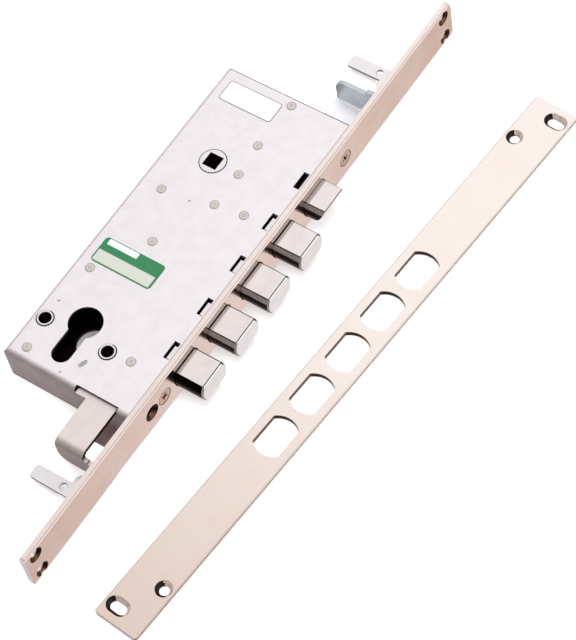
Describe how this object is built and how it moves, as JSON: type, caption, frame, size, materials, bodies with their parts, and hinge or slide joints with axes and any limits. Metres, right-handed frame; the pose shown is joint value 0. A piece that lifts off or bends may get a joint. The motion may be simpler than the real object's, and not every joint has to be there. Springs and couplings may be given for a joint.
{
  "type": "multipoint mortise lock",
  "caption": "Mortise lock with a long faceplate, sliding deadbolts, a sprung latch, cylinder and spindle holes, rod brackets above and below, and a separate strike plate.",
  "frame": {"origin": "the cylinder's centre line, on the plane that the lock lies on", "axes": "+X the way the bolts are thrown, +Y up the faceplate towards the latch, +Z from the far side of the case to the near side"},
  "size_m": [0.1639, 0.3676, 0.024],
  "materials": {
    "case_steel": "satin zinc plated sheet",
    "satin_nickel": "warm satin nickel, brushed along the length",
    "bright_nickel": "polished nickel plate",
    "zinc_steel": "bright zinc plated sheet",
    "rod_steel": "satin nickel plated",
    "inner_steel": "plain steel, lightly greased",
    "rivet_steel": "plated steel",
    "spring_steel": "drawn spring wire",
    "white_film": "white self-adhesive film",
    "green_film": "green self-adhesive film with a pale panel"
  },
  "bodies": {
    "case": {"case_shell": "case_steel", "case_walls": "case_steel", "back_cover": "case_steel", "faceplate": "satin_nickel", "guide_plate": "zinc_steel", "screw_blocks": "inner_steel", "faceplate_screws": "satin_nickel", "pillars": "rivet_steel", "guide_studs": "rivet_steel", "through_bushes": "bright_nickel", "upper_lug": "zinc_steel", "lower_lug": "zinc_steel", "carriage_keeper": "inner_steel", "pinion_axle": "rivet_steel", "detent_leaf": "spring_steel", "latch_spring": "spring_steel", "follower_spring": "spring_steel", "blank_sticker": "white_film", "green_label": "green_film", "strike_plate": "satin_nickel"},
    "bolts": {"deadbolt_1": "bright_nickel", "deadbolt_2": "bright_nickel", "deadbolt_3": "bright_nickel", "deadbolt_4": "bright_nickel", "bolt_carriage": "inner_steel", "carriage_pins": "inner_steel"},
    "gear": {"pinion": "inner_steel"},
    "upper_rod": {"upper_rod": "rod_steel"},
    "lower_rod": {"lower_rod": "rod_steel"},
    "latch": {"latch_bolt": "bright_nickel", "latch_tail": "inner_steel", "latch_pin": "inner_steel"},
    "follower": {"follower": "rivet_steel"}
  },
  "joints": [
    {"name": "bolt_draw", "type": "slide", "parent": "case", "child": "bolts", "axis": [-1, 0, 0], "range_m": [0, 0.0165]},
    {"name": "gear_turn", "type": "hinge", "parent": "case", "child": "gear", "pos_m": [0.0013, 0.0544, 0.012], "axis": [0, 0, 1], "range_deg": [0, 105.1]},
    {"name": "upper_rod_draw", "type": "slide", "parent": "case", "child": "upper_rod", "axis": [0, -1, 0], "range_m": [0, 0.0165]},
    {"name": "lower_rod_draw", "type": "slide", "parent": "case", "child": "lower_rod", "axis": [0, 1, 0], "range_m": [0, 0.0165]},
    {"name": "follower_turn", "type": "hinge", "parent": "case", "child": "follower", "pos_m": [0.0002, 0.1085, 0.012], "axis": [0, 0, 1], "range_deg": [0, 47]},
    {"name": "latch_draw", "type": "slide", "parent": "case", "child": "latch", "axis": [-1, 0, 0], "range_m": [0, 0.012], "stiffness_N_per_m": 400, "springref_m": -0.008, "deforming": ["latch_spring"]}
  ],
  "couplings": [
    {"joint": "gear_turn", "follows": "bolt_draw", "rad_per_m": 111.11},
    {"joint": "upper_rod_draw", "follows": "bolt_draw", "ratio": 1},
    {"joint": "lower_rod_draw", "follows": "bolt_draw", "ratio": 1},
    {"joint": "follower_turn", "follows": "latch_draw", "rad_per_m": 68.358}
  ]
}
